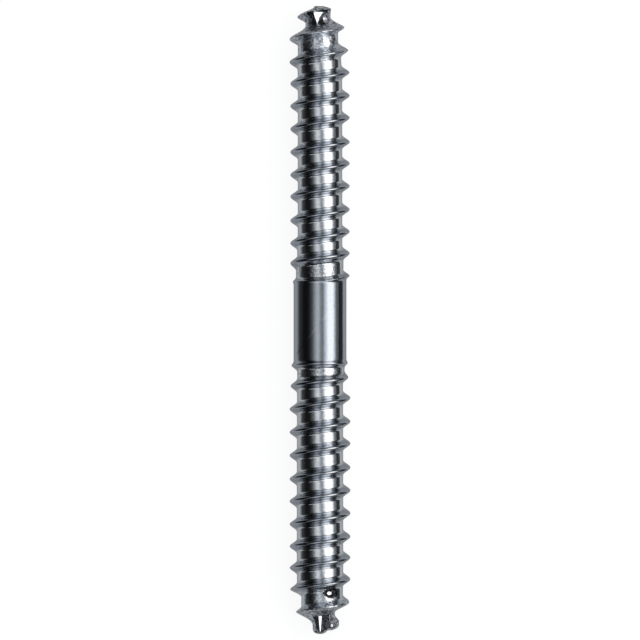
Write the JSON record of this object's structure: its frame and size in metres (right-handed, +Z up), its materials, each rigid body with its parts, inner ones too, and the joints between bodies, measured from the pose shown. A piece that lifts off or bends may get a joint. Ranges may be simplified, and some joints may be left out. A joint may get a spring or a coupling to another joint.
{
  "type": "dowel screw",
  "caption": "Headless steel dowel screw with a coarse wood thread and a blunt point on each end and a short plain shank between, for joining wood end to end.",
  "frame": {"origin": "on the surface the screw lies on, under the middle of its length", "axes": "+Y along the screw's axis towards the upper end, the one with the longer plain run-out above the shank; +Z up from the surface, out of the side where both point notches open"},
  "size_m": [0.0098, 0.1016, 0.0099],
  "materials": {
    "zinc_steel": "bright zinc plate on steel, with fine turning lines round the shank"
  },
  "bodies": {
    "root": {"dowel_screw": "zinc_steel"}
  },
  "joints": []
}
